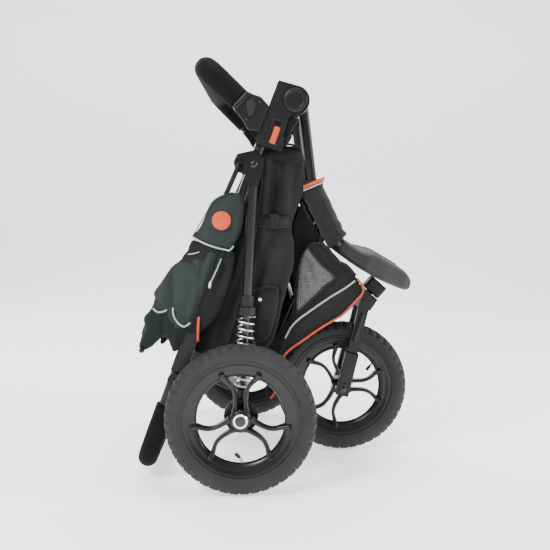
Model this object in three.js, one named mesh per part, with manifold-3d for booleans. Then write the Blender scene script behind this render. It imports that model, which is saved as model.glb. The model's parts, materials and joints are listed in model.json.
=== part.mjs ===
// Three-wheel stroller, folded and standing on its wheels.
// Millimetres, +Z up, +X to the front, +Y to the left.
// Side-view points are [x, z] with the rear axle at x = 0.
// The whole group is shifted so that its box is centred.
import * as THREE from 'three';
import { mergeVertices } from 'three/addons/utils/BufferGeometryUtils.js';
import Module from 'manifold-3d';

const wasm = await Module();
wasm.setup();

// ---- driving dimensions -------------------------------------------------------------------------
const CENTRE_SHIFT = -79.3;            // moves the box centre onto x = 0
const WHEEL_RADIUS = 152.5;
const RIM_RADIUS = 116;
const RIM_INNER_RADIUS = 88;
const TRACK_HALF = 285;                // rear wheel centre plane
const REAR_AXLE = [0, WHEEL_RADIUS];
const FRONT_AXLE = [228, WHEEL_RADIUS];
const LEG_PIVOT = [27, 658];
const FOLD_HINGE = [109, 783];
const LEG_Y = 242;
const HANDLE_Y = 216;
const FRONT_TUBE_Y = 190;
const LINK_Y = 158;
const TUBE_RADIUS = 11;
const LEG_TUBE_RADIUS = 10;
const PIN_RADIUS = 6;
const RUNNING_GAP = 0.3;
const HANDLE_TOP = [37, 690];          // where the handle tube leaves the lock housing
const HANDLE_LEAN = THREE.MathUtils.degToRad(20.2);
const HANDLEBAR_PIVOT_AT = 503;        // distance along the handle tube from HANDLE_TOP
const HANDLEBAR_END_AT = 691;
const HOOD_PIVOT = [-1, 662];
const LINK_REAR = [38, 215];
const LINK_FRONT = [182, 536];
const HEAD_CENTRE = [304, 387];
const STEER_LEAN = THREE.MathUtils.degToRad(42);
const BUMPER_CORNER = [-70, 852];
const GRIP_RADIUS = 20.5;
const BUMPER_RADIUS = 23.5;

// ---- materials ----------------------------------------------------------------------------------
function finish(color, roughness, metalness = 0) {
  return new THREE.MeshStandardMaterial({ color, roughness, metalness });
}
const PAINT = finish(0x17181a, 0.4, 0.5);
const PLASTIC = finish(0x1b1c1e, 0.55);
const STEEL = finish(0xc9cbce, 0.25, 1);
const ORANGE = finish(0xe0552b, 0.5);
const RUBBER = finish(0x202123, 0.8);
const FABRIC = finish(0x151617, 0.95);
const HOOD_FABRIC = finish(0x2f3f38, 0.9);
const FOAM = finish(0x1c1c1e, 0.9);

// ---- helpers ------------------------------------------------------------------------------------
function toSolid(geometry) {
  const bare = geometry.index ? geometry.clone() : geometry;
  bare.deleteAttribute('normal');
  bare.deleteAttribute('uv');
  const merged = mergeVertices(bare, 1e-4);
  const mesh = new wasm.Mesh({
    numProp: 3,
    vertProperties: new Float32Array(merged.attributes.position.array),
    triVerts: new Uint32Array(merged.index.array),
  });
  return new wasm.Manifold(mesh);
}

function toGeometry(solid) {
  const mesh = solid.getMesh();
  const geometry = new THREE.BufferGeometry();
  geometry.setAttribute('position', new THREE.BufferAttribute(mesh.vertProperties, 3));
  geometry.setIndex(new THREE.BufferAttribute(mesh.triVerts, 1));
  return geometry;
}

function join(...geometries) {
  return toGeometry(geometries.map(toSolid).reduce((sum, next) => sum.add(next)));
}

function cut(body, ...tools) {
  return toGeometry(tools.map(toSolid).reduce((left, tool) => left.subtract(tool), toSolid(body)));
}

function common(a, b) {
  return toGeometry(toSolid(a).intersect(toSolid(b)));
}

function outline(points) {
  return new THREE.Shape(points.map(([x, z]) => new THREE.Vector2(x, z)));
}

// A side-view outline as a slab between two heights of y.
function slab(shape, yA, yB, curveSegments = 6) {
  const low = Math.min(yA, yB);
  const depth = Math.abs(yB - yA);
  const geometry = new THREE.ExtrudeGeometry(shape, { depth, bevelEnabled: false, curveSegments });
  return geometry.rotateX(Math.PI / 2).translate(0, low + depth, 0);
}

function panel(points, yA, yB) {
  return slab(outline(points), yA, yB);
}

// A round bar along y.
function crossBar([x, z], radius, yA, yB, segments = 20) {
  return new THREE.CylinderGeometry(radius, radius, Math.abs(yB - yA), segments)
    .translate(x, (yA + yB) / 2, z);
}

// A round bar between two points.
function bar(from, to, radius, segments = 16) {
  const a = new THREE.Vector3(...from);
  const along = new THREE.Vector3(...to).sub(a);
  const turn = new THREE.Quaternion().setFromUnitVectors(new THREE.Vector3(0, 1, 0), along.clone().normalize());
  const middle = a.clone().addScaledVector(along, 0.5);
  return new THREE.CylinderGeometry(radius, radius, along.length(), segments)
    .applyQuaternion(turn).translate(middle.x, middle.y, middle.z);
}

// Straight runs joined by round bends, sampled exactly at its own points.
class BentLine extends THREE.Curve {
  constructor(corners, reach, bendSteps = 4) {
    super();
    const nodes = corners.map((p) => new THREE.Vector3(...p));
    this.stops = [nodes[0]];
    for (let i = 1; i < nodes.length - 1; i += 1) {
      const into = nodes[i - 1].clone().sub(nodes[i]).setLength(reach).add(nodes[i]);
      const out = nodes[i + 1].clone().sub(nodes[i]).setLength(reach).add(nodes[i]);
      this.stops.push(...new THREE.QuadraticBezierCurve3(into, nodes[i], out).getPoints(bendSteps));
    }
    this.stops.push(nodes[nodes.length - 1]);
  }

  get steps() {
    return this.stops.length - 1;
  }

  getPoint(t, target = new THREE.Vector3()) {
    const place = Math.min(Math.max(t, 0), 1) * this.steps;
    const low = Math.min(Math.floor(place), this.steps - 1);
    return target.lerpVectors(this.stops[low], this.stops[low + 1], place - low);
  }

  getPointAt(u, target) {
    return this.getPoint(u, target);
  }

  getTangentAt(u, target) {
    return this.getTangent(u, target);
  }
}

function sweep(path, radius, sides = 12, steps = path.steps) {
  const section = new THREE.Shape();
  for (let i = 0; i < sides; i += 1) {
    const angle = (i / sides) * 2 * Math.PI;
    const place = [radius * Math.cos(angle), radius * Math.sin(angle)];
    if (i === 0) section.moveTo(...place);
    else section.lineTo(...place);
  }
  return new THREE.ExtrudeGeometry(section, { steps, bevelEnabled: false, extrudePath: path });
}

// A closed profile of [radius, y] points turned about the y axis.
function ring(profile, [x, z], y, segments) {
  const points = [...profile, profile[0]].map(([r, height]) => new THREE.Vector2(r, height));
  return new THREE.LatheGeometry(points, segments).translate(x, y, z);
}

// Places on the handle: along runs down the tube from HANDLE_TOP, front runs forward of its centre line.
function onHandle(along, front = 0) {
  return [
    HANDLE_TOP[0] - along * Math.sin(HANDLE_LEAN) + front * Math.cos(HANDLE_LEAN),
    HANDLE_TOP[1] - along * Math.cos(HANDLE_LEAN) - front * Math.sin(HANDLE_LEAN),
  ];
}

// Places on a rear leg: distance down from the leg pivot, side forward of the tube.
const LEG_LENGTH = Math.hypot(LEG_PIVOT[0] - REAR_AXLE[0], LEG_PIVOT[1] - REAR_AXLE[1]);
const LEG_DOWN = [(REAR_AXLE[0] - LEG_PIVOT[0]) / LEG_LENGTH, (REAR_AXLE[1] - LEG_PIVOT[1]) / LEG_LENGTH];
function onLeg(down, forward = 0) {
  return [
    LEG_PIVOT[0] + LEG_DOWN[0] * down - LEG_DOWN[1] * forward,
    LEG_PIVOT[1] + LEG_DOWN[1] * down + LEG_DOWN[0] * forward,
  ];
}

function legPoint(down, y) {
  const [x, z] = onLeg(down);
  return [x, y, z];
}

// Places at the steering head: down runs along the steering axis, front across it.
function onHead(down, front = 0) {
  return [
    HEAD_CENTRE[0] - down * Math.sin(STEER_LEAN) + front * Math.cos(STEER_LEAN),
    HEAD_CENTRE[1] - down * Math.cos(STEER_LEAN) - front * Math.sin(STEER_LEAN),
  ];
}

// Places in the hood: a bearing clockwise from straight up and a distance from the hood pivot.
function inHood(bearing, distance) {
  const angle = THREE.MathUtils.degToRad(bearing);
  return [HOOD_PIVOT[0] + distance * Math.sin(angle), HOOD_PIVOT[1] + distance * Math.cos(angle)];
}

const group = new THREE.Group();
group.position.x = CENTRE_SHIFT;
function add(name, geometry, material) {
  const mesh = new THREE.Mesh(geometry, material);
  mesh.name = name;
  group.add(mesh);
}

const SIDES = [['left', 1], ['right', -1]];

// ---- wheels -------------------------------------------------------------------------------------
const HUB_RADIUS = 26;
const AXLE_PIN_RADIUS = 6;
const BUTTON_RADIUS = 10;
const WHEEL_SEGMENTS = 36;
const TYRE_SECTION = [[RIM_RADIUS + RUNNING_GAP, 13], [123, 20], [133, 22], [144, 18.5], [150.5, 10],
  [WHEEL_RADIUS, 0]];

function tyre(centre, y) {
  const outer = TYRE_SECTION;
  const inner = outer.slice(0, -1).reverse().map(([r, h]) => [r, -h]);
  return ring([...outer, ...inner].reverse(), centre, y, WHEEL_SEGMENTS);
}

function rib(centre, y, bearing, side) {
  const half = 3.5;
  const edge = (offset) => [[HUB_RADIUS - 4, 10.5], [58, 11], [72, 17], [82, 27], [RIM_INNER_RADIUS + 3, 33]]
    .map(([r, w]) => [r, side * (w + offset)]);
  const points = [...edge(-half), ...edge(half).reverse()];
  const turn = THREE.MathUtils.degToRad(bearing);
  const placed = points.map(([r, w]) => [
    centre[0] + r * Math.cos(turn) - w * Math.sin(turn),
    centre[1] + r * Math.sin(turn) + w * Math.cos(turn),
  ]);
  return panel(placed, y - 6, y + 6);
}

function rim(centre, y, firstBearing, hubFrom, hubTo) {
  const hoop = ring([[RIM_INNER_RADIUS, -11], [92, -15], [RIM_RADIUS, -15], [RIM_RADIUS, 15], [92, 15],
    [RIM_INNER_RADIUS, 11]], centre, y, WHEEL_SEGMENTS);
  const pieces = [hoop, crossBar(centre, HUB_RADIUS, hubFrom, hubTo, 24)];
  for (let i = 0; i < 3; i += 1) {
    pieces.push(rib(centre, y, firstBearing + i * 120, 1), rib(centre, y, firstBearing + i * 120, -1));
  }
  return cut(join(...pieces), crossBar(centre, AXLE_PIN_RADIUS + RUNNING_GAP, y - 40, y + 40));
}

for (const [name, side] of SIDES) {
  const y = side * TRACK_HALF;
  const pocket = crossBar(REAR_AXLE, BUTTON_RADIUS + RUNNING_GAP, y + side * 12, y + side * 40);
  add(`rear_tyre_${name}`, tyre(REAR_AXLE, y), RUBBER);
  add(`rear_rim_${name}`, cut(rim(REAR_AXLE, y, 90, y - side * 20, y + side * 17), pocket), PLASTIC);
  add(`hub_button_${name}`, crossBar(REAR_AXLE, BUTTON_RADIUS, y + side * 15.5, y + side * 20), STEEL);
}

add('front_tyre', tyre(FRONT_AXLE, 0), RUBBER);
add('front_rim', rim(FRONT_AXLE, 0, 0, -24, 24), PLASTIC);

// ---- rear frame ---------------------------------------------------------------------------------
const COLLAR_TOP = 262;                // distances down the leg
const COLLAR_STEP = 286;
const COLLAR_END = 301;
const SPRING_TOP = 303;
const SPRING_END = 452;
const ROD_RADIUS = 6.8;
const ROD_END = 476;
const CARRIER_TOP = 454;
const SPRING_TURNS = 10;
const SPRING_WIRE = 2;
const COIL_RADIUS = 14.8;

class Helix extends THREE.Curve {
  constructor(y) {
    super();
    this.y = y;
  }

  getPoint(t, target = new THREE.Vector3()) {
    const angle = t * SPRING_TURNS * 2 * Math.PI;
    const down = SPRING_TOP + SPRING_WIRE + t * (SPRING_END - SPRING_TOP - 2 * SPRING_WIRE);
    const [x, z] = onLeg(down, COIL_RADIUS * Math.cos(angle));
    return target.set(x, this.y + COIL_RADIUS * Math.sin(angle), z);
  }
}

function leg(side) {
  const y = side * LEG_Y;
  const head = new THREE.Shape();
  const [px, pz] = LEG_PIVOT;
  head.absarc(px, pz, 20, Math.PI * 1.06, -Math.PI * 0.06, true);
  head.lineTo(...onLeg(42, 10.5));
  head.lineTo(...onLeg(42, -10.5));
  const tubeTop = legPoint(38, y);
  const plate = slab(head, side * (LEG_Y - 10.7), side * (LEG_Y + 10.7));
  const tube = bar(tubeTop, legPoint(COLLAR_END + 1, y), LEG_TUBE_RADIUS);
  const rod = bar(legPoint(COLLAR_END, y), legPoint(ROD_END, y), ROD_RADIUS, 12);
  return cut(join(plate, tube, rod), crossBar(LEG_PIVOT, PIN_RADIUS + RUNNING_GAP, y - 20, y + 20));
}

function springCollar(side) {
  const y = side * LEG_Y;
  const upper = bar(legPoint(COLLAR_TOP, y), legPoint(COLLAR_STEP, y), 14);
  const lower = bar(legPoint(COLLAR_STEP - 1, y), legPoint(COLLAR_END, y), 18.5);
  const [x, z] = onLeg((COLLAR_STEP + COLLAR_END) / 2);
  const lug = crossBar([x, z], 7, side * (HANDLE_Y + 4.3), side * (LEG_Y - 10));
  return cut(join(upper, lower, lug), bar(legPoint(COLLAR_TOP - 5, y), legPoint(COLLAR_END + 5, y), 10.3));
}

for (const [name, side] of SIDES) {
  add(`rear_leg_${name}`, leg(side), PAINT);
  add(`spring_collar_${name}`, springCollar(side), PLASTIC);
  add(`spring_${name}`, sweep(new Helix(side * LEG_Y), 2, 4, SPRING_TURNS * 7), STEEL);
}

function rearUFrame() {
  const half = HANDLE_Y - 4;
  const [x, z] = onLeg((COLLAR_STEP + COLLAR_END) / 2);
  const drop = (side) => [[x, side * half, z + 8], [20, side * half, 300],
    [LINK_REAR[0], side * half, LINK_REAR[1]]];
  const path = new BentLine([...drop(1), ...drop(-1).reverse()], 26, 4);
  return sweep(path, 8, 10);
}
add('rear_u_frame', rearUFrame(), PAINT);

// ---- rear axle ----------------------------------------------------------------------------------
const BRAKE_PIN = [-26, 158];

function axleTube() {
  const pieces = [crossBar(REAR_AXLE, TUBE_RADIUS, -LEG_Y + 15.5, LEG_Y - 15.5)];
  const pin = crossBar(BRAKE_PIN, 4, -44, 44, 12);
  for (const side of [1, -1]) {
    pieces.push(panel([[-5, 143], [-5, 166], [-30, 166], [-34, 158], [-30, 150]], side * 38, side * 44));
  }
  return join(...pieces, pin);
}
add('rear_axle_tube', axleTube(), PAINT);

function brakePedal() {
  const lever = panel([[-18, 163], [-40, 168], [-78, 178], [-84, 172], [-40, 152], [-26, 149], [-19, 152]],
    -37, 37);
  return cut(lever, crossBar(BRAKE_PIN, 4.3, -50, 50, 12));
}
add('brake_pedal', brakePedal(), PLASTIC);

function hubCarrier(side) {
  const y = side * LEG_Y;
  const sleeve = bar(legPoint(CARRIER_TOP, y), legPoint(LEG_LENGTH + 18, y), 13);
  const spigot = crossBar(REAR_AXLE, 15, side * (LEG_Y - 15), side * 263.5);
  const drum = crossBar(REAR_AXLE, 35, side * 256, side * 262.5, 24);
  const pin = crossBar(REAR_AXLE, AXLE_PIN_RADIUS, side * 262, side * 295, 16);
  const bore = bar(legPoint(CARRIER_TOP - 5, y), legPoint(ROD_END + 16, y), ROD_RADIUS + RUNNING_GAP, 12);
  return cut(join(sleeve, spigot, drum, pin), bore);
}
for (const [name, side] of SIDES) add(`hub_carrier_${name}`, hubCarrier(side), PLASTIC);

// ---- handle frame -------------------------------------------------------------------------------
const HOUSING_INNER_Y = 204.5;
const HOUSING_OUTER_Y = 250;
const HINGE_PIN_RADIUS = 8;
const BUMPER_PIVOT = onHandle(-58, -23);
const ADJUSTER_TOP = 397;
const ADJUSTER_END = 484;
const HANDLEBAR_PIVOT = onHandle(HANDLEBAR_PIVOT_AT);
const KNUCKLE_RADIUS = 16;

function hingeHousing(side) {
  const shape = new THREE.Shape();
  const round = 28.5;
  shape.moveTo(...onHandle(-8, 40));
  shape.lineTo(...onHandle(-15, 45));
  shape.lineTo(...onHandle(-42, 35));
  shape.lineTo(...onHandle(-78, 34));
  shape.absarc(...FOLD_HINGE, round, -Math.PI / 2 - HANDLE_LEAN, Math.PI / 2 - HANDLE_LEAN, false);
  shape.lineTo(...onHandle(-137, -9));
  shape.lineTo(...onHandle(-8, -11));
  const lug = crossBar(BUMPER_PIVOT, 13, side * HOUSING_INNER_Y, side * 226, 16);
  const block = join(slab(shape, side * HOUSING_INNER_Y, side * HOUSING_OUTER_Y, 10), lug);
  const recess = panel([onHandle(-62, 14), onHandle(-62, 28), onHandle(-14, 28), onHandle(-14, 14)],
    side * (HOUSING_OUTER_Y - 6), side * (HOUSING_OUTER_Y + 6));
  const bore = crossBar(FOLD_HINGE, HINGE_PIN_RADIUS + RUNNING_GAP, side * 190, side * 260);
  return cut(block, recess, bore);
}

function hingeCap(side) {
  const disc = crossBar(FOLD_HINGE, 24, side * (HOUSING_OUTER_Y + RUNNING_GAP), side * 254.5, 32);
  return join(disc, crossBar(FOLD_HINGE, HINGE_PIN_RADIUS, side * 179.5, side * 252));
}

function legBracket(side) {
  const plate = panel([[48, 652], [48, 672], [30, 688], [-6, 680], [-14, 664], [-10, 646], [20, 634]],
    side * (HANDLE_Y + 11.3), side * (LEG_Y - 11.2));
  const pin = crossBar(LEG_PIVOT, PIN_RADIUS, side * 229, side * (LEG_Y + 11.5));
  const screw = crossBar(LEG_PIVOT, 9.5, side * (LEG_Y + 11), side * (LEG_Y + 14));
  const stud = crossBar(HOOD_PIVOT, 4, side * 229, side * 242, 12);
  return join(plate, pin, screw, stud);
}

function adjusterHousing(side) {
  const block = panel([onHandle(ADJUSTER_TOP, 13), onHandle(ADJUSTER_TOP + 6, 16), onHandle(ADJUSTER_END, 16),
    onHandle(ADJUSTER_END, -16), onHandle(ADJUSTER_TOP + 6, -16), onHandle(ADJUSTER_TOP, -13)],
  side * 200, side * 232);
  const ear = join(crossBar(HANDLEBAR_PIVOT, KNUCKLE_RADIUS, side * 200, side * 209, 24),
    panel([onHandle(ADJUSTER_END - 5, 15), onHandle(HANDLEBAR_PIVOT_AT, 15), onHandle(HANDLEBAR_PIVOT_AT, -15),
      onHandle(ADJUSTER_END - 5, -15)], side * 200, side * 209));
  return cut(join(block, ear), crossBar(HANDLEBAR_PIVOT, 10.4, side * 190, side * 207));
}

for (const [name, side] of SIDES) {
  const y = side * HANDLE_Y;
  const [topX, topZ] = onHandle(-7.4);
  const [lowX, lowZ] = onHandle(ADJUSTER_TOP - RUNNING_GAP);
  add(`handle_tube_${name}`, bar([topX, y, topZ], [lowX, y, lowZ], TUBE_RADIUS), PAINT);
  add(`hinge_housing_${name}`, hingeHousing(side), PLASTIC);
  add(`hinge_cap_${name}`, hingeCap(side), PLASTIC);
  add(`leg_bracket_${name}`, legBracket(side), PLASTIC);
  add(`adjuster_housing_${name}`, adjusterHousing(side), PLASTIC);
  const slider = panel([onHandle(-60, 15), onHandle(-60, 27), onHandle(-24, 27), onHandle(-24, 15)],
    side * (HOUSING_OUTER_Y - 5.6), side * (HOUSING_OUTER_Y + 2));
  slider.translate(-8 * Math.sin(HANDLE_LEAN), 0, -8 * Math.cos(HANDLE_LEAN));
  add(`release_slider_${name}`, slider, ORANGE);
  add(`adjuster_button_${name}`, crossBar(HANDLEBAR_PIVOT, 10, side * 196, side * 203), PLASTIC);
}
add('handle_cross_tube', crossBar(onHandle(400), 8, -199.6, 199.6), PAINT);

// ---- handlebar ----------------------------------------------------------------------------------
const GRIP_START = 560;

function handlebarJoint(side) {
  const [x, z] = onHandle(HANDLEBAR_PIVOT_AT + 8);
  const [endX, endZ] = onHandle(GRIP_START - RUNNING_GAP);
  const sleeve = bar([x, side * HANDLE_Y, z], [endX, side * HANDLE_Y, endZ], 15.5);
  const keep = panel([onHandle(HANDLEBAR_PIVOT_AT - 20, 30), onHandle(GRIP_START + 5, 30),
    onHandle(GRIP_START + 5, -30), onHandle(HANDLEBAR_PIVOT_AT - 20, -30)], side * 209.4, side * 240);
  const knuckle = crossBar(HANDLEBAR_PIVOT, KNUCKLE_RADIUS, side * 209.4, side * 232, 24);
  return join(common(sleeve, keep), knuckle);
}

function handlebarPath(start) {
  const points = (side) => {
    const [x, z] = onHandle(start);
    const [endX, endZ] = onHandle(HANDLEBAR_END_AT);
    return [[x, side * HANDLE_Y, z], [endX, side * HANDLE_Y, endZ]];
  };
  return new BentLine([...points(1), ...points(-1).reverse()], 48, 5);
}

for (const [name, side] of SIDES) add(`handlebar_joint_${name}`, handlebarJoint(side), PLASTIC);
add('handlebar_tube', sweep(handlebarPath(GRIP_START), TUBE_RADIUS, 10), PAINT);
add('handlebar_grip', cut(sweep(handlebarPath(GRIP_START + 2), GRIP_RADIUS, 12),
  sweep(handlebarPath(GRIP_START - 4), TUBE_RADIUS + 0.5, 10)), FOAM);

// ---- bumper bar ---------------------------------------------------------------------------------
const BUMPER_Y = 236;
const BUMPER_ROOT = [-2, 785];

for (const [name, side] of SIDES) {
  const [px, pz] = BUMPER_PIVOT;
  const clip = panel([[px + 5, pz - 6], [px + 9, pz + 6], [14, 793], [-0.5, 779], [px - 10, pz - 12],
    [px, pz - 15]], side * 226.4, side * 248);
  const pocket = crossBar(onHandle(-78, -34), 6.4, side * 244, side * 260, 16);
  add(`bumper_clip_${name}`, cut(clip, pocket), PLASTIC);
  add(`bumper_button_${name}`, crossBar(onHandle(-78, -34), 6, side * 246.5, side * 250.5, 16), PLASTIC);
}
const bumperCorners = (side) => [[BUMPER_ROOT[0], side * BUMPER_Y, BUMPER_ROOT[1]],
  [BUMPER_CORNER[0], side * BUMPER_Y, BUMPER_CORNER[1]]];
add('bumper_bar', sweep(new BentLine([...bumperCorners(1), ...bumperCorners(-1).reverse()], 52, 5),
  BUMPER_RADIUS, 12), FABRIC);

// ---- hood ---------------------------------------------------------------------------------------
const HOOD_WALL = [230.8, 240];
const HOOD_RIM = 176;                  // outer radius of the hood's side panels
const HOOD_REACH = 425;

function hoodPart(nearBearing, farBearing, wallBearing) {
  const slabOutline = [inHood(nearBearing, HOOD_RIM + 6), inHood(farBearing, HOOD_RIM + 6),
    inHood(farBearing, HOOD_REACH - 30), inHood((nearBearing + farBearing) / 2, HOOD_REACH),
    inHood(nearBearing, HOOD_REACH - 20)];
  const pieces = [panel(slabOutline, -HOOD_WALL[1], HOOD_WALL[1])];
  for (const side of [1, -1]) {
    pieces.push(panel([inHood(wallBearing, 14), inHood(farBearing, 14), inHood(farBearing, HOOD_RIM + 20),
      inHood(nearBearing, HOOD_RIM + 20), inHood(wallBearing, HOOD_RIM)],
    side * HOOD_WALL[0], side * HOOD_WALL[1]));
  }
  return join(...pieces);
}
add('hood_rear', hoodPart(200.6, 207.2, 186), HOOD_FABRIC);
add('hood_front', hoodPart(207.8, 214, 207.8), HOOD_FABRIC);

// ---- seat ---------------------------------------------------------------------------------------
const SEAT_HALF = 165;
const seatPoints = [onHandle(20, 13), onHandle(20, 51), onHandle(352, 51), onHandle(352, 13)];
add('seat_back', panel(seatPoints, -SEAT_HALF, SEAT_HALF), FABRIC);

// ---- front frame --------------------------------------------------------------------------------
const frontPath = (side) => new BentLine([[127, side * FRONT_TUBE_Y, 774], [147, side * FRONT_TUBE_Y, 608],
  [196, side * FRONT_TUBE_Y, 508], [208, side * FRONT_TUBE_Y, 497]], 14, 3);

function frontTube(side) {
  const eye = crossBar(FOLD_HINGE, 20, side * 180, side * 203.6, 24);
  const post = crossBar(LINK_FRONT, 5, side * (LINK_Y + 8.6), side * 186, 12);
  const bore = crossBar(FOLD_HINGE, HINGE_PIN_RADIUS + RUNNING_GAP, side * 170, side * 210);
  return cut(join(sweep(frontPath(side), TUBE_RADIUS, 12), eye, post), bore);
}

function tubeSleeve(side) {
  const y = side * FRONT_TUBE_Y;
  const path = new BentLine([[145.6, y, 620], [147.4, y, 607], [194, y, 511.5], [201, y, 503.5]], 5, 2);
  return cut(sweep(path, 23, 10), sweep(frontPath(side), TUBE_RADIUS + 1.2, 10),
    crossBar(LINK_FRONT, 8, side * 150, side * 186, 12));
}

for (const [name, side] of SIDES) {
  add(`front_tube_${name}`, frontTube(side), PAINT);
  add(`tube_sleeve_${name}`, tubeSleeve(side), FABRIC);
}
const legRestPoints = [[106, 690], [130, 692], [156, 612], [203, 514], [186, 502], [138, 600]];
add('leg_rest', panel(legRestPoints, -144, 144), FABRIC);

function footrest() {
  const side = outline([[224, 504], [238, 493], [256, 480], [286, 476], [319, 457], [354, 437], [369, 421],
    [371, 407], [361, 387], [320, 403], [284, 421], [244, 445], [209, 471]]);
  const plan = new THREE.Shape([[200, -198], [262, -196], [330, -150], [380, -110], [380, 110], [330, 150],
    [262, 196], [200, 198]].map(([x, y]) => new THREE.Vector2(x, y)));
  const tall = new THREE.ExtrudeGeometry(plan, { depth: 300, bevelEnabled: false }).translate(0, 0, 300);
  return common(slab(side, -200, 200), tall);
}
add('footrest', footrest(), PLASTIC);

function headPlace(down) {
  const [x, z] = onHead(down);
  return [x, 0, z];
}

function headBlock() {
  const block = panel([onHead(-15, -22), onHead(-15, 22), onHead(17, 22), onHead(17, -22)], -23, 23);
  return cut(block, bar(headPlace(-30), headPlace(30), HINGE_PIN_RADIUS + RUNNING_GAP, 16));
}
add('front_head_block', headBlock(), PLASTIC);

// ---- side links and basket ----------------------------------------------------------------------
function linkFrame() {
  const pieces = [];
  const middle = [(LINK_REAR[0] + LINK_FRONT[0]) / 2, (LINK_REAR[1] + LINK_FRONT[1]) / 2];
  for (const side of [1, -1]) {
    const y = side * LINK_Y;
    pieces.push(bar([LINK_REAR[0], y, LINK_REAR[1]], [LINK_FRONT[0], y, LINK_FRONT[1]], 7, 12));
    pieces.push(crossBar(LINK_REAR, 14, side * (LINK_Y - 8), side * (LINK_Y + 8)));
    pieces.push(crossBar(LINK_FRONT, 10, side * (LINK_Y - 8), side * (LINK_Y + 8)));
  }
  pieces.push(crossBar(middle, 6, -LINK_Y, LINK_Y, 12));
  return cut(join(...pieces), crossBar(LINK_REAR, 8.4, -LINK_Y - 10, LINK_Y + 10));
}
add('link_frame', linkFrame(), PAINT);

function basket() {
  const walls = panel([[255, 392], [238, 430], [214, 450], [186, 462], [140, 489], [118, 455], [106, 350],
    [68, 300], [53, 232], [53, 166], [66, 160], [76, 200], [92, 262], [164, 317]], -176, 176);
  const inside = panel([[268, 408], [160, 321.5], [88, 266], [71, 202], [63, 168], [40, 174], [40, 520],
    [268, 520]], -170, 170);
  return cut(walls, inside);
}
add('basket', basket(), FABRIC);

// ---- front fork ---------------------------------------------------------------------------------
const BLADE_Y = 42;
const BLADE_TOP = [276, 352];
const BLADE_LENGTH = Math.hypot(BLADE_TOP[0] - FRONT_AXLE[0], BLADE_TOP[1] - FRONT_AXLE[1]);
function onBlade(down, front = 0) {
  const sx = (FRONT_AXLE[0] - BLADE_TOP[0]) / BLADE_LENGTH;
  const sz = (FRONT_AXLE[1] - BLADE_TOP[1]) / BLADE_LENGTH;
  return [BLADE_TOP[0] + sx * down - sz * front, BLADE_TOP[1] + sz * down + sx * front];
}

function bladePlate(from, to, half, yIn, yOut) {
  return panel([onBlade(from, -half), onBlade(from, half), onBlade(to, half), onBlade(to, -half)], yIn, yOut);
}

function forkUpper() {
  const crown = panel([onHead(18, -20), onHead(18, 18), onBlade(12, 16), onBlade(12, -13)], -50, 50);
  const pieces = [crown, bar(headPlace(-15), headPlace(20), HINGE_PIN_RADIUS, 16)];
  for (const side of [1, -1]) {
    pieces.push(bladePlate(5, 132, 12, side * (BLADE_Y - 7), side * (BLADE_Y + 7)));
  }
  return join(...pieces);
}
add('fork_upper', forkUpper(), PAINT);

for (const [name, side] of SIDES) {
  const lower = bladePlate(116, BLADE_LENGTH + 14, 15, side * (BLADE_Y - 11), side * (BLADE_Y + 11));
  const socket = bladePlate(110, 152, 12.4, side * (BLADE_Y - 7.4), side * (BLADE_Y + 7.4));
  const bore = crossBar(FRONT_AXLE, AXLE_PIN_RADIUS + RUNNING_GAP, side * 20, side * 70);
  add(`fork_lower_${name}`, cut(lower, socket, bore), PLASTIC);
}
add('front_axle', crossBar(FRONT_AXLE, AXLE_PIN_RADIUS, -57, 57), STEEL);

export default group;
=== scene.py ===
import json
import math

import bmesh
import bpy
import numpy as np
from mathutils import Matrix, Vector, noise


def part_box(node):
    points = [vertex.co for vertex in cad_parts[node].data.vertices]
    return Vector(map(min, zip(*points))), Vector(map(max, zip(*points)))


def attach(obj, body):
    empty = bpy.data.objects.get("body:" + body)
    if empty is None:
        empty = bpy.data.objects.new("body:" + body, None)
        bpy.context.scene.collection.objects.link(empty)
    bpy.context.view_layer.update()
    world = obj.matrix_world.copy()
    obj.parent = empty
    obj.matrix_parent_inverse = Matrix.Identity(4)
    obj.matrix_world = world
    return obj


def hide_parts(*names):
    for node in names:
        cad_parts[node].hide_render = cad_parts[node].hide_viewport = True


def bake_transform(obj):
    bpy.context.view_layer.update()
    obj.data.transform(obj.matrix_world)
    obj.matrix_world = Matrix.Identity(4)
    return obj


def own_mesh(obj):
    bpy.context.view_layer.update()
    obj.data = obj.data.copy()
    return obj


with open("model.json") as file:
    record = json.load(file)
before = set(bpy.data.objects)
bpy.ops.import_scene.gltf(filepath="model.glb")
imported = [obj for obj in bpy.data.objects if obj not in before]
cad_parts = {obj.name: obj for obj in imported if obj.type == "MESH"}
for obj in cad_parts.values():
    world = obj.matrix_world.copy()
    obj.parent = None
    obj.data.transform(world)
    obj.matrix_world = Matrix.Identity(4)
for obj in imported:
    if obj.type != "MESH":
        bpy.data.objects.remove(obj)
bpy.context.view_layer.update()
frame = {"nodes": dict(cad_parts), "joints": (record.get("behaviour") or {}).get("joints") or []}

MM = 0.001
SIDES = (("left", 1), ("right", -1))

# ---- places, in the side view: millimetres with the rear axle at x = 0 ---------------------------
_low, _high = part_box("rear_tyre_left")
AXLE_X = (_low.x + _high.x) / 2          # metres, where x = 0 of the side view lies in the frame
WHEEL_R = (_high.z - _low.z) / 2 / MM
_low, _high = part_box("front_axle")
FRONT_AXLE = (((_low.x + _high.x) / 2 - AXLE_X) / MM, (_low.z + _high.z) / 2 / MM)
REAR_AXLE = (0.0, WHEEL_R)
JOINTS = {joint["name"]: joint for joint in frame["joints"]}


def joint_place(name):
    x, _, z = JOINTS[name]["pos_m"]
    return (x - AXLE_X) / MM, z / MM


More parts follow.
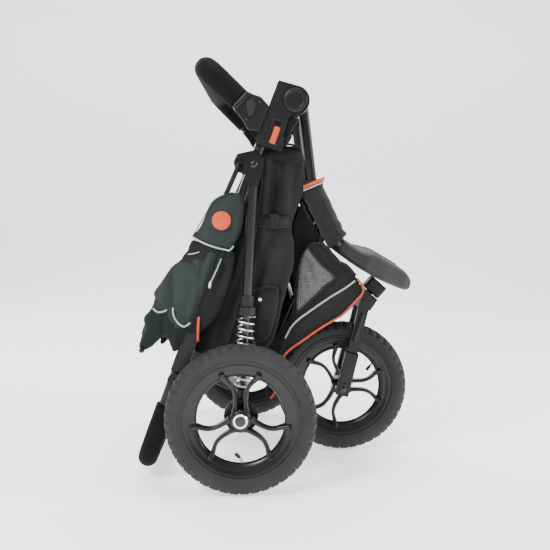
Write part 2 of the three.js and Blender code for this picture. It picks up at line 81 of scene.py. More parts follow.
LEG_PIVOT = joint_place("fold")
FOLD_HINGE = joint_place("front_fold")
HANDLE_JOINT = joint_place("handlebar_angle")
HOOD_PIVOT = joint_place("hood_fold")
LEG_Y = 242
HANDLE_Y = 216
LEAN = math.radians(20.2)          # of the handle tubes, from upright
HANDLE_TOP = (37, 690)             # where the handle tubes' own places count from
LEG_LENGTH = math.dist(LEG_PIVOT, REAR_AXLE)


def at(x, y, z):
    """A side-view place in millimetres as a point in the frame's metres."""
    return Vector((x * MM + AXLE_X, y * MM, z * MM))


def on_handle(along, front=0.0):
    """A place by its way down the folded handle tube and in front of it."""
    return (HANDLE_TOP[0] - along * math.sin(LEAN) + front * math.cos(LEAN),
            HANDLE_TOP[1] - along * math.cos(LEAN) - front * math.sin(LEAN))


def on_leg(down, forward=0.0):
    """A place by its way down the rear leg and in front of it."""
    dx = (REAR_AXLE[0] - LEG_PIVOT[0]) / LEG_LENGTH
    dz = (REAR_AXLE[1] - LEG_PIVOT[1]) / LEG_LENGTH
    return LEG_PIVOT[0] + dx * down - dz * forward, LEG_PIVOT[1] + dz * down + dx * forward


def in_hood(bearing, distance):
    """A place by its bearing (degrees) and distance from the hood pivot."""
    angle = math.radians(bearing)
    return HOOD_PIVOT[0] + distance * math.sin(angle), HOOD_PIVOT[1] + distance * math.cos(angle)


# ---- materials -----------------------------------------------------------------------------------
SLOT_OF = {
    "black_powder_coat": "frame_paint", "black_nylon": "moulded_plastic", "rim_plastic": "rim_plastic",
    "grained_plastic": "moulded_plastic", "tyre_rubber": "tyre_rubber", "grip_foam": "grip_foam",
    "bright_steel": "bright_steel", "spring_steel": "bright_steel", "dark_steel": "bright_steel",
    "orange_plastic": "orange_plastic", "black_fabric": "black_fabric", "dark_lining": "black_fabric",
    "webbing": "black_fabric", "hood_fabric": "hood_fabric", "hood_lining": "hood_fabric", "brass": "brass",
    "knitted_mesh": "mesh_fabric", "orange_piping": "trim_orange", "grey_piping": "trim_grey",
}


def new_material(name, color, roughness, metallic=0.0):
    mat = bpy.data.materials.new("look_" + name)
    mat.use_nodes = True
    mat["slot"] = SLOT_OF.get(name, "moulded_plastic")
    shader = mat.node_tree.nodes["Principled BSDF"]
    shader.inputs["Base Color"].default_value = (*color, 1)
    shader.inputs["Roughness"].default_value = roughness
    shader.inputs["Metallic"].default_value = metallic
    return mat, shader


def add_node(mat, kind, **settings):
    made = mat.node_tree.nodes.new(kind)
    for key, value in settings.items():
        if key in made.inputs:
            made.inputs[key].default_value = value
        else:
            setattr(made, key, value)
    return made


def link(mat, out, into):
    mat.node_tree.links.new(out, into)


def object_place(mat):
    return add_node(mat, "ShaderNodeTexCoord").outputs["Object"]


def cloud(mat, scale, detail):
    """Noise in the object's own space."""
    made = add_node(mat, "ShaderNodeTexNoise", Scale=scale, Detail=detail)
    link(mat, object_place(mat), made.inputs["Vector"])
    return made.outputs["Fac"]


def bumped(mat, height, strength, distance, into):
    """A bump of this height, as the normal of another node."""
    bump = add_node(mat, "ShaderNodeBump", Strength=strength, Distance=distance)
    link(mat, height, bump.inputs["Height"])
    link(mat, bump.outputs["Normal"], into.inputs["Normal"])
    return bump


def color_ramp(mat, shader, value, color, stops):
    """The base colour scaled by a value; stops are two (position, factor)."""
    ramp = add_node(mat, "ShaderNodeValToRGB")
    for element, (position, factor) in zip(ramp.color_ramp.elements, stops):
        element.position = position
        element.color = (*[min(1, c * factor) for c in color], 1)
    link(mat, value, ramp.inputs["Fac"])
    link(mat, ramp.outputs["Color"], shader.inputs["Base Color"])
    return ramp


def tint(mat, shader, color, scale, spread):
    """Slow colour variation round the base colour."""
    stops = ((0.3, 1 - spread), (0.7, 1 + spread))
    return color_ramp(mat, shader, cloud(mat, scale, 4.0), color, stops)


def grain(mat, shader, scale, strength, rough=None):
    """Fine bump, with roughness that follows it."""
    bumped(mat, cloud(mat, scale, 3.0), strength, 0.0003, shader)
    if rough:
        spread = add_node(mat, "ShaderNodeMapRange")
        spread.inputs["To Min"].default_value = rough[0]
        spread.inputs["To Max"].default_value = rough[1]
        link(mat, cloud(mat, 22.0, 5.0), spread.inputs["Value"])
        link(mat, spread.outputs["Result"], shader.inputs["Roughness"])


def weave(mat, shader, color, threads, strength):
    """Crossed threads as bump and as a faint light and dark, over slow fading."""
    place = object_place(mat)
    waves = []
    for direction in ("X", "Z"):
        wave = add_node(mat, "ShaderNodeTexWave", Scale=threads, Distortion=0.6, Detail=1.0)
        wave.wave_type = "BANDS"
        wave.bands_direction = direction
        link(mat, place, wave.inputs["Vector"])
        waves.append(wave)
    cross = add_node(mat, "ShaderNodeMath")
    cross.operation = "MULTIPLY"
    link(mat, waves[0].outputs["Fac"], cross.inputs[0])
    link(mat, waves[1].outputs["Fac"], cross.inputs[1])
    creased = bumped(mat, cloud(mat, 28.0, 5.0), 0.22, 0.003, shader)
    bumped(mat, cross.outputs[0], strength, 0.0004, creased)
    ramp = tint(mat, shader, color, 9.0, 0.25)
    mix = add_node(mat, "ShaderNodeMix")
    mix.data_type = "RGBA"
    mix.blend_type = "MULTIPLY"
    mix.inputs["Factor"].default_value = 0.25
    link(mat, ramp.outputs["Color"], mix.inputs[6])
    link(mat, cross.outputs[0], mix.inputs[7])
    link(mat, mix.outputs[2], shader.inputs["Base Color"])


def fabric(name, color, threads=420.0, strength=0.5, sheen=0.12, roughness=0.85):
    mat, shader = new_material(name, color, roughness)
    weave(mat, shader, color, threads, strength)
    shader.inputs["Specular IOR Level"].default_value = 0.22
    shader.inputs["Sheen Weight"].default_value = sheen
    shader.inputs["Sheen Roughness"].default_value = 0.5
    return mat


def plastic(name, color, roughness, scale=900.0, strength=0.25, specular=0.35):
    mat, shader = new_material(name, color, roughness)
    shader.inputs["Specular IOR Level"].default_value = specular
    tint(mat, shader, color, 14.0, 0.18)
    grain(mat, shader, scale, strength, rough=(roughness - 0.06, roughness + 0.08))
    return mat


def metal(name, color, roughness, metallic=1.0):
    mat, shader = new_material(name, color, roughness, metallic)
    tint(mat, shader, color, 30.0, 0.08)
    grain(mat, shader, 260.0, 0.05, rough=(roughness - 0.04, roughness + 0.06))
    return mat


def paint(name, color):
    mat = metal(name, color, 0.3, 0.35)
    shader = mat.node_tree.nodes["Principled BSDF"]
    shader.inputs["Coat Weight"].default_value = 0.35
    shader.inputs["Coat Roughness"].default_value = 0.18
    return mat


def mesh_fabric(name, color):
    """Knitted mesh: rows of small dark holes between lighter threads."""
    mat, shader = new_material(name, color, 0.8)
    cells = add_node(mat, "ShaderNodeTexVoronoi", Scale=230.0, Randomness=0.2)
    link(mat, object_place(mat), cells.inputs["Vector"])
    color_ramp(mat, shader, cells.outputs["Distance"], color, ((0.36, 0.25), (0.6, 1)))
    bumped(mat, cells.outputs["Distance"], 0.7, 0.0006, shader)
    return mat


PAINT = paint("black_powder_coat", (0.006, 0.0063, 0.007))
PLASTIC = plastic("black_nylon", (0.0075, 0.0078, 0.0085), 0.4, specular=0.3)
DARK_PLASTIC = plastic("grained_plastic", (0.014, 0.0145, 0.0155), 0.6, 600.0, 0.5, 0.3)
RIM = plastic("rim_plastic", (0.0085, 0.009, 0.0098), 0.3, 800.0, 0.12)
RUBBER = plastic("tyre_rubber", (0.02, 0.0208, 0.0228), 0.7, 500.0, 0.45)
FOAM = plastic("grip_foam", (0.0055, 0.0055, 0.0063), 0.85, 1400.0, 0.6, 0.12)
CHROME = metal("bright_steel", (0.78, 0.79, 0.81), 0.16)
SPRING_STEEL = metal("spring_steel", (0.86, 0.86, 0.87), 0.34)
DARK_STEEL = metal("dark_steel", (0.05, 0.051, 0.055), 0.32)
BRASS = metal("brass", (0.62, 0.42, 0.16), 0.28)
ORANGE = plastic("orange_plastic", (0.6, 0.075, 0.022), 0.42)
BLACK_FABRIC = fabric("black_fabric", (0.0105, 0.011, 0.012), sheen=0.09, roughness=0.72)
LINING = fabric("dark_lining", (0.0135, 0.0148, 0.0146), 300.0, sheen=0.06)
LINING_GREEN = fabric("hood_lining", (0.012, 0.0165, 0.015), 300.0, sheen=0.05)
HOOD = fabric("hood_fabric", (0.024, 0.0345, 0.031), 380.0, 0.55, 0.1, 0.75)
MESH = mesh_fabric("knitted_mesh", (0.095, 0.097, 0.1))
WEBBING = fabric("webbing", (0.02, 0.021, 0.023), 160.0, 0.9)
ORANGE_TRIM = fabric("orange_piping", (0.62, 0.095, 0.032), 700.0, 0.3)
GREY_TRIM = fabric("grey_piping", (0.55, 0.57, 0.57), 700.0, 0.3)


# ---- building pieces -----------------------------------------------------------------------------
def in_scene(name, data):
    obj = bpy.data.objects.new(name, data)
    bpy.context.scene.collection.objects.link(obj)
    return obj


def shade_smooth(data):
    data.polygons.foreach_set("use_smooth", [True] * len(data.polygons))


def make(name, verts, faces, mat, body=None, replaces=()):
    """A mesh piece from frame points, with its material, slot and body."""
    data = bpy.data.meshes.new(name)
    data.from_pydata([tuple(v) for v in verts], [], faces)
    work = bmesh.new()
    work.from_mesh(data)
    bmesh.ops.recalc_face_normals(work, faces=work.faces)
    work.to_mesh(data)
    work.free()
    obj = in_scene(name, data)
    data.materials.append(mat)
    shade_smooth(data)
    return dress(obj, body, replaces)


def dress(obj, body, replaces=()):
    """Body, and the replaced parts hidden. A body given as a function is called on the piece."""
    if callable(body):
        body(obj)
    elif body:
        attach(obj, body)
    if replaces:
        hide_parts(*replaces)
    return obj


def pair(build, stem, *args, **settings):
    """The left and the right copy of a piece; build takes the name and the side (1 or -1) first."""
    return [build(f"{stem}_{name}", side, *args, **settings) for name, side in SIDES]


def modify(obj, kind, **settings):
    made = obj.modifiers.new(kind.title(), kind)
    for key, value in settings.items():
        setattr(made, key, value)
    return made


def bake_modifiers(obj):
    graph = bpy.context.evaluated_depsgraph_get()
    data = bpy.data.meshes.new_from_object(obj.evaluated_get(graph))
    obj.modifiers.clear()
    obj.data = data
    return obj


def sharp(obj, degrees=35):
    """Smooth shading that keeps edges sharper than this."""
    shade_smooth(obj.data)
    obj.data.set_sharp_from_angle(angle=math.radians(degrees))
    return obj


def bevel(obj, width, degrees=35):
    modify(obj, "BEVEL", width=width * MM, segments=3, limit_method="ANGLE",
           angle_limit=math.radians(degrees), harden_normals=False)
    return obj


def ring_faces(rings, n, closed_path=False, closed_ring=True):
    """Quads between neighbouring rings of n points each."""
    faces = []
    for i in range(rings if closed_path else rings - 1):
        a, b = i * n, ((i + 1) % rings) * n
        for k in range(n if closed_ring else n - 1):
            m = (k + 1) % n
            faces.append((a + k, a + m, b + m, b + k))
    return faces


def caps(rings, n):
    """The two end faces of a row of rings."""
    return [tuple(range(n)), tuple(range((rings - 1) * n, rings * n))]


def between(p0, p1, p2, p3, t):
    """A point of the smooth curve from p1 to p2."""
    return tuple(0.5 * (2 * b + (c - a) * t + (2 * a - 5 * b + 4 * c - d) * t * t
                        + (3 * b - a - 3 * c + d) * t ** 3)
                 for a, b, c, d in zip(p0, p1, p2, p3))


def closed_curve(points, steps):
    """A smooth closed outline through given points."""
    n = len(points)
    return [between(*(points[(i + k - 1) % n] for k in range(4)), s / steps)
            for i in range(n) for s in range(steps)]


def open_curve(points, steps=4):
    """A smooth open line through given points."""
    ends = [points[0], *points, points[-1]]
    inner = [between(*ends[i:i + 4], s / steps) for i in range(len(points) - 1) for s in range(steps)]
    return inner + [tuple(points[-1])]


def smooth_path(points, steps=8):
    """The same through [x, y, z] places, as frame points."""
    return [at(*place) for place in open_curve(points, steps)]


def rounded(corners, reach, steps=8):
    """Straight runs joined by round bends, as frame points."""
    nodes = [at(*c) for c in corners]
    path = [nodes[0]]
    for before, here, after in zip(nodes, nodes[1:], nodes[2:]):
        into = here + (before - here).normalized() * reach * MM
        out = here + (after - here).normalized() * reach * MM
        for i in range(steps + 1):
            t = i / steps
            path.append(into * (1 - t) ** 2 + here * 2 * t * (1 - t) + out * t * t)
    return path + [nodes[-1]]


def resample(path, step):
    """The same path with points no further apart than step, in millimetres."""
    out = [path[0]]
    for a, b in zip(path, path[1:]):
        count = max(1, math.ceil((b - a).length / (step * MM)))
        out += [a.lerp(b, (i + 1) / count) for i in range(count)]
    return out


def sweep(name, path, radius, mat, body=None, replaces=(), sides=24, shape=None):
    """A bar along a path. radius is millimetres, or a function of the share along the path.
    shape(angle, share) scales the section."""
    count = len(path)
    verts = []
    lean = None
    for i, place in enumerate(path):
        along = (path[min(i + 1, count - 1)] - path[max(i - 1, 0)]).normalized()
        if lean is None:
            lean = along.orthogonal().normalized()
            if abs(along.y) < 0.9:
                lean = along.cross(Vector((0, 1, 0))).normalized()
        lean = (lean - along * lean.dot(along)).normalized()
        other = along.cross(lean)
        share = i / max(1, count - 1)
        size = radius(share) if callable(radius) else radius
        for k in range(sides):
            angle = 2 * math.pi * k / sides
            wide, high = shape(angle, share) if shape else (1, 1)
            out = lean * math.cos(angle) * wide + other * math.sin(angle) * high
            verts.append(place + out * size * MM)
    return make(name, verts, ring_faces(count, sides) + caps(count, sides), mat, body, replaces)


def flat(ratio):
    """A section shape flattened to this share of its height."""
    return lambda angle, share: (1, ratio)


def piping(name, side, points, radius, mat, body, sides=12, steps=8, shape=None):
    """A bar through places given for the left side."""
    path = smooth_path([(x, side * y, z) for x, y, z in points], steps)
    return sweep(name, path, radius, mat, body, sides=sides, shape=shape)


def turned(name, profile, centre, y, mat, body, replaces=(), segments=96):
    """A closed [radius, y] profile turned about the wheel axis through centre."""
    verts = []
    for i in range(segments):
        angle = 2 * math.pi * i / segments
        for r, height in profile:
            verts.append(at(centre[0] + r * math.cos(angle), y + height, centre[1] + r * math.sin(angle)))
    faces = ring_faces(segments, len(profile), closed_path=True)
    return sharp(make(name, verts, faces, mat, body, replaces), 40)


def turned_out(name, side, profile, centre, y, mat, body, segments=64):
    """The same on one side, with the profile's heights counted outwards from y."""
    profile = [(r, side * (y + out)) for r, out in profile]
    return turned(name, profile, centre, 0, mat, body, segments=segments)


def disc(name, side, centre, radius, y_in, y_out, mat, body, edge):
    """A round piece with a rounded outer edge."""
    high = y_out - y_in
    profile = [(0, 0), (radius, 0), (radius, high - edge), (radius - edge * 0.3, high - edge * 0.3),
               (radius - edge, high), (0, high)]
    return turned_out(name, side, profile, centre, y_in, mat, body, 48)


def silver_ring(name, side, centre, y, body):
    profile = [(9.6, -2), (15.4, -2), (15.4, 1.2), (14.2, 2.4), (10.8, 2.4), (9.6, 1.2)]
    return turned_out(name, side, profile, centre, y, CHROME, body)


def screw(name, side, centre, y, radius, body):
    """A button-head screw with a round socket, facing out."""
    profile = [(0.001, 0), (radius, 0), (radius, 0.8), (radius * 0.8, 2.2), (radius * 0.45, 2.6),
               (radius * 0.42, 1.2), (0.001, 1.2)]
    return turned_out(name, side, profile, centre, y, DARK_STEEL, body, 24)


def prism(name, side, outline, y_in, y_out, mat, body=None):
    n = len(outline)
    verts = [at(x, side * y, z) for y in (y_in, y_out) for x, z in outline]
    return make(name, verts, caps(2, n) + ring_faces(2, n), mat, body)


def side_plate(name, side, outline, y_in, y_out, mat, body, edge=2.0):
    """A flat-sided piece with this side-view outline and rounded edges."""
    return bevel(sharp(prism(name, side, outline, y_in, y_out, mat, body)), edge)


def edge_distance(xz, outline):
    """How far each point is inside the outline, in millimetres."""
    best = np.full(len(xz), 1e9)
    pts = np.array(outline, float)
    for a, b in zip(pts, np.roll(pts, -1, axis=0)):
        d = b - a
        t = np.clip(((xz - a) @ d) / (d @ d), 0, 1)
        best = np.minimum(best, np.linalg.norm(xz - a - t[:, None] * d, axis=1))
    return best


def crease(xz, ends, height, width):
    """A soft ridge (or groove, below zero) along a side-view line."""
    a, b = np.array(ends[:2], float), np.array(ends[2:], float)
    d = b - a
    raw = ((xz - a) @ d) / (d @ d)
    t = np.clip(raw, 0, 1)
    away = np.linalg.norm(xz - a - t[:, None] * d, axis=1)
    fade = 0.35 + 0.65 * np.sin(np.pi * np.clip(raw, 0.05, 0.95))
    return height * np.exp(-(away / width) ** 2) * fade


def soft_panel(name, side, outline, y_in, y_out, mat, body, puff, ripple, folds, seed, shift, voxel=4.0):
    """A doubled fabric panel: remeshed from its outline, crowned, creased and rippled.
    A fold is (x, z, x, z, height, width). shift makes the left side's ripples its own."""
    outline = closed_curve(outline, 5)
    if side > 0:
        seed += shift
    obj = prism(name, side, outline, y_in, y_out, mat)
    modify(obj, "REMESH", mode="VOXEL", voxel_size=voxel * MM, use_smooth_shade=True)
    modify(obj, "SMOOTH", factor=0.5, iterations=4)
    bake_modifiers(obj)
    data = obj.data
    co = np.array([v.co for v in data.vertices], float)
    normal = np.array([v.normal for v in data.vertices], float)
    xz = np.stack([(co[:, 0] - AXLE_X) / MM, co[:, 2] / MM], 1)
    inside = edge_distance(xz, outline)
    facing = normal[:, 1] * side
    crown = puff * (1 - np.exp(-inside / 14))
    wave = np.array([noise.noise(Vector((x / 34 + seed, z / 26, seed))) for x, z in xz]) * ripple
    wave += np.array([noise.noise(Vector((x / 11 + seed, z / 15, seed + 9))) for x, z in xz]) * ripple * 0.45
    shape = wave * (1 - np.exp(-inside / 8))
    for *ends, height, width in folds:
        shape += crease(xz, ends, height, width) * (1 - np.exp(-inside / 5))
    move = np.where(facing > 0, crown + shape, shape * 0.8 - crown * 0.35 * np.abs(facing))
    co[:, 1] += side * move * MM
    data.vertices.foreach_set("co", co.ravel())
    shade_smooth(data)
    data.materials.clear()
    data.materials.append(mat)
    data.update()
    dress(obj, body)
    return obj


def cloth_sheet(name, line, count, half, sway, mat, thickness):
    """A sheet of cloth along a side-view line. sway(s, i) moves the point at s (-1 to 1) of row i."""
    rows = []
    for i, (x, z) in enumerate(line):
        row = []
        for k in range(count):
            s = -1 + 2 * k / (count - 1)
            dx, dz = sway(s, i)
            row.append((x + dx, s * half, z + dz))
        rows.append(row)
    faces = ring_faces(len(rows), count, closed_ring=False)
    obj = make(name, [at(*place) for row in rows for place in row], faces, mat)
    modify(obj, "SOLIDIFY", thickness=thickness * MM, offset=0)
    bake_modifiers(obj)
    return obj, rows


def node_span(node):
    low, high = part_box(node)
    return low.y / MM, high.y / MM


def outer(node):
    """How far out from the middle plane a node reaches."""
    low, high = node_span(node)
    return max(high, -low)


# ---- tubes, castings and other parts kept as designed --------------------------------------------
KEPT = {
    PAINT: ["rear_leg", "rear_u_frame", "rear_axle_tube", "handle_tube", "handle_cross_tube", "front_tube",
            "link_frame", "handlebar_tube", "front_axle", "brake_pedal"],
    PLASTIC: ["hinge_cap", "leg_bracket", "hub_carrier", "spring_collar", "adjuster_housing", "bumper_clip",
              "fork_upper", "fork_lower", "front_head_block", "hinge_housing", "adjuster_button",
              "bumper_button"],
    DARK_STEEL: ["hub_button"],
    DARK_PLASTIC: ["handlebar_joint"],
    ORANGE: ["release_slider"],
}
BEVELS = {
    "hinge_housing": 4.0, "hinge_cap": 3.0, "leg_bracket": 3.0, "hub_carrier": 3.0, "spring_collar": 1.5,
    "adjuster_housing": 4.0, "bumper_clip": 4.0, "fork_upper": 3.0, "fork_lower": 3.0,
    "front_head_block": 4.0, "release_slider": 2.5, "adjuster_button": 2.0, "handlebar_joint": 2.0,
    "brake_pedal": 2.0, "hub_button": 2.0, "bumper_button": 2.0,
}
for kept_mat, stems in KEPT.items():
    for node in frame["nodes"]:
        stem = node.replace("_left", "").replace("_right", "")
        if stem not in stems:
            continue
        obj = bpy.data.objects[node]
        obj.data.materials.clear()
        obj.data.materials.append(kept_mat)
        modify(obj, "WELD", merge_threshold=0.00002)
        bevel(obj, BEVELS.get(stem, 0.8), 30)
        modify(obj, "WEIGHTED_NORMAL", keep_sharp=False, weight=80)
        shade_smooth(obj.data)


# ---- wheels --------------------------------------------------------------------------------------
BLOCKS, SAMPLES_PER_BLOCK = 44, 7
SHOULDER_R, CROWN_R = 137, 150.5


def tread_cut(r, share, turn):
    """How deep the tread is cut at this radius, share of the half width and turn in blocks."""
    cut = 0.0
    if r > CROWN_R and share < 0.1:
        cut = 1.4
    elif r > SHOULDER_R and share > 0.5:
        cut = 3.0 if turn % 1.0 < 0.34 else 0.0
    elif r > CROWN_R:
        cut = 2.4 if (turn + 0.2) % 1.0 < 0.3 else 0.0
    return min(cut, max(0.0, (r - SHOULDER_R) * 0.5))


def tyre(name, centre, y, half, body, node):
    """A pneumatic tyre with a bead ring, shoulder lugs and two rows of centre blocks."""
    side_wall = [(116.6, 0.7), (118.5, 0.84), (121.5, 0.9), (123, 0.86), (128, 0.96), (134, 1.0),
                 (140, 0.985), (145, 0.9), (149, 0.72), (151.4, 0.45), (152.2, 0.2), (152.4, 0.0)]
    one = open_curve(side_wall, 3)
    profile = [(r, -w * half) for r, w in one] + [(r, w * half) for r, w in reversed(one[:-1])]
    count = BLOCKS * SAMPLES_PER_BLOCK
    verts = []
    for i in range(count):
        angle = 2 * math.pi * i / count
        for r, offset in profile:
            share = abs(offset) / half
            turn = (i / SAMPLES_PER_BLOCK + (0.5 if offset > 0 else 0.0) + share * 0.35) % 1.0
            cut = tread_cut(r, share, turn)
            verts.append(at(centre[0] + (r - cut) * math.cos(angle), y + offset * (1 - cut / 60),
                            centre[1] + (r - cut) * math.sin(angle)))
    faces = ring_faces(count, len(profile), closed_path=True, closed_ring=False)
    return sharp(make(name, verts, faces, RUBBER, body, [node]), 28)


def rib_width(share):
    return 3.9 + 3.2 * share ** 5 + 2.2 * (1 - share) ** 7


def rounded_bar(angle, share):
    squareness = (abs(math.cos(angle)) ** 4 + abs(math.sin(angle)) ** 4) ** 0.25
    return 1 / squareness, 2.3 / squareness


def rim(name, centre, y, half, side, body, node, bearings, hub_half):
    """A moulded rim: a rounded ring, pairs of ribs that open like a tulip, and a hub."""
    section = ((115.6, 0), (112, -0.6), (104, 3), (97, 5), (91, 9), (88, 14))
    ring = open_curve([(r, out - half) for r, out in section])
    ring += [(r, -out) for r, out in reversed(ring)]
    turned(name, ring, centre, y, RIM, body, [node], 144)
    lip = [(117.5, half - 1), (119.5, half + 0.4), (117.5, half + 1.6), (114, half)]
    turned(name + "_lip", [(r, side * out) for r, out in lip], centre, y, RIM, body, segments=144)
    offsets = [(16, 12.5), (26, 10.5), (44, 10.6), (56, 12.4), (65, 16), (72, 21), (78, 27), (84, 32),
               (92, 37)]
    for number, bearing in enumerate(bearings):
        across, up = math.cos(math.radians(bearing)), math.sin(math.radians(bearing))
        for letter, sign in (("a", 1), ("b", -1)):
            path = [(centre[0] + r * up + sign * off * across, y, centre[1] + r * across - sign * off * up)
                    for r, off in offsets]
            sweep(f"{name}_rib_{number}_{letter}", smooth_path(path, 5), rib_width, RIM, body, sides=20,
                  shape=rounded_bar)
    hub = [(12.4, -hub_half), (18, -hub_half + 0.5), (21, -hub_half + 3), (22, -hub_half + 8)]
    hub += [(r, -out) for r, out in reversed(hub)]
    turned(name + "_hub", hub, centre, y, RIM, body, segments=72)


for name, side in SIDES:
    low, high = node_span(f"rear_tyre_{name}")
    mid, half = (low + high) / 2, (high - low) / 2
    body = f"rear_wheel_{name}"
    tyre(f"tyre_{name}", REAR_AXLE, mid, half, body, f"rear_tyre_{name}")
    hub_half = min(outer(f"rear_rim_{name}") - abs(mid), 16)
    rim(f"rim_{name}", REAR_AXLE, mid, half * 0.64, side, body, f"rear_rim_{name}", (0, 120, 240), hub_half)
    silver_ring(f"hub_ring_{name}", side, REAR_AXLE, abs(mid) + hub_half - 0.5, body)
    stem = [(3, 284, WHEEL_R - 90), (1, 286, WHEEL_R - 82), (-3, 289, WHEEL_R - 76)]
    piping(f"valve_stem_{name}", side, stem, 2.6, BRASS, body, 16, 5)
    piping(f"valve_cap_{name}", side, [stem[-1], (-10, 293, WHEEL_R - 68)], 3.6, PLASTIC, body, 16, 5)
    for spot in range(4):
        turn = math.radians(45 + 90 * spot)
        place = (REAR_AXLE[0] + 29 * math.sin(turn), REAR_AXLE[1] + 29 * math.cos(turn))
        screw(f"drum_screw_{name}_{spot}", side, place, 262.2, 2.4, "rear_axle")

low, high = node_span("front_tyre")
tyre("tyre_front", FRONT_AXLE, 0, (high - low) / 2, "front_wheel", "front_tyre")
hub_half = min(outer("front_rim"), 24)
rim("rim_front", FRONT_AXLE, 0, 14, -1, "front_wheel", "front_rim", (90, 210, 330), hub_half)
pair(silver_ring, "front_hub_ring", FRONT_AXLE, hub_half - 0.5, "front_wheel")
valve = [(72, -6, 54), (66, -9, 47), (58, -12, 38)]
valve = [(FRONT_AXLE[0] + x, y, FRONT_AXLE[1] + z) for x, y, z in valve]
piping("front_valve_stem", 1, valve[:2], 2.6, BRASS, "front_wheel", 16, 3)
piping("front_valve_cap", 1, valve[1:], 3.6, PLASTIC, "front_wheel", 16, 3)

# ---- suspension springs --------------------------------------------------------------------------
SPRING_TOP, SPRING_END = 303.5, 452.0
COIL_TURNS, STEPS_PER_TURN = 10, 28
COIL_R, WIRE_R = 16.0, 2.2
for name, side in SIDES:
    path = []
    for i in range(COIL_TURNS * STEPS_PER_TURN + 1):
        angle = 2 * math.pi * i / STEPS_PER_TURN
        down = SPRING_TOP + 2 + (SPRING_END - SPRING_TOP - 4) * i / (COIL_TURNS * STEPS_PER_TURN)
        x, z = on_leg(down, COIL_R * math.cos(angle))
        path.append(at(x, side * LEG_Y + COIL_R * math.sin(angle), z))
    coil = sweep(f"coil_spring_{name}", path, WIRE_R, SPRING_STEEL, "rear_frame", [f"spring_{name}"],
                 sides=12)
    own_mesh(coil)

# ---- hood ----------------------------------------------------------------------------------------
UPPER = [(-17, 604), (-36, 599), (-54, 588), (-70, 560), (-82, 534), (-98, 513), (-80, 503), (-58, 494),
         (-36, 489), (-19, 489), (-12, 502), (0, 522), (7, 550), (9, 581), (-1, 600)]
LOWER = [(-50, 492), (-84, 500), (-104, 490), (-121, 469), (-137, 457), (-150, 441), (-162, 423),
         (-178, 401), (-176, 390), (-184, 368), (-200, 349), (-197, 331), (-205, 308), (-210, 289),
         (-199, 282), (-184, 288), (-160, 309), (-152, 308), (-146, 293), (-139, 277), (-129, 283),
         (-117, 303), (-99, 335), (-81, 381), (-60, 430), (-34, 476), (-36, 486)]
INNER = [(-66, 490), (-30, 490), (-12, 482), (-16, 440), (-28, 400), (-44, 358), (-70, 328), (-98, 304),
         (-118, 296), (-112, 340), (-98, 392), (-82, 440)]
LOBE = [(-183, 366), (-172, 361), (-160, 359), (-149, 362), (-139, 350), (-130, 341), (-118, 331),
        (-105, 336), (-117, 304), (-129, 285), (-139, 279), (-146, 294), (-152, 310), (-161, 311),
        (-184, 291), (-198, 284), (-208, 290), (-203, 308), (-196, 331), (-198, 348)]
# outline of a black patch where the hood's fold casts shade: painted shade, not a separate piece of cloth
FOLD_SHADE_PATCH = [(-97, 508), (-66, 500), (-32, 484), (-45, 474), (-64, 478), (-74, 464), (-90, 466), (-107, 457),
         (-118, 460), (-121, 470), (-108, 488)]
UPPER_FOLDS = [(-14, 590, -66, 520, 1.6, 12), (4, 575, -16, 498, 1.8, 7), (-52, 560, -30, 498, -1.8, 6)]
FLAP_FOLDS = [(-104, 484, -128, 380, 5.0, 9), (-139, 450, -138, 366, -6.5, 6),
              (-74, 488, -88, 385, -5.5, 5), (-62, 478, -104, 352, 5.0, 8),
              (-152, 436, -164, 372, 5.0, 7), (-178, 398, -158, 366, -4.5, 5),
              (-186, 362, -196, 296, 4.5, 8), (-160, 356, -156, 312, -6.0, 6),
              (-128, 340, -138, 286, 4.5, 7), (-110, 470, -90, 452, -4.5, 4),
              (-132, 462, -108, 440, 3.6, 5), (-98, 420, -118, 345, -3.4, 5)]
INNER_FOLDS = [(-40, 488, -92, 340, 2.4, 6), (-28, 470, -60, 360, -2.2, 6)]
LOBE_FOLDS = [(-186, 356, -194, 300, 4.0, 7), (-160, 354, -158, 318, -5.0, 5),
              (-128, 336, -136, 290, 4.0, 6)]


def fan(obj):
    """Bakes the piece's placement into its mesh; the piece is left without a body."""
    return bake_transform(obj)


def hood_panel(stem, outline, y_in, y_out, mat, body, puff, ripple, folds, seed):
    pair(soft_panel, stem, outline, y_in, y_out, mat, body, puff, ripple, folds, seed, 13.0)


hood_panel("hood_side", UPPER, 229, 238, HOOD, "handle_frame", 4.5, 1.6, UPPER_FOLDS, 0.0)
hood_panel("hood_flap", LOWER, 225, 233, HOOD, fan, 4.5, 2.6, FLAP_FOLDS, 3.1)
hood_panel("hood_gusset", INNER, 226, 230.5, LINING, "handle_frame", 2.5, 1.6, INNER_FOLDS, 5.0)
hood_panel("hood_lower", LOBE, 229, 236, LINING_GREEN, fan, 3.4, 2.6, LOBE_FOLDS, 21.0)
# hood_fold: a black fabric patch laid over the flap and side panel to darken the fold, painted shade
hood_panel("hood_fold", FOLD_SHADE_PATCH, 230, 236, BLACK_FABRIC, "handle_frame", 3.0, 1.6,
           [(-110, 470, -60, 486, 2.0, 5)], 23.0)

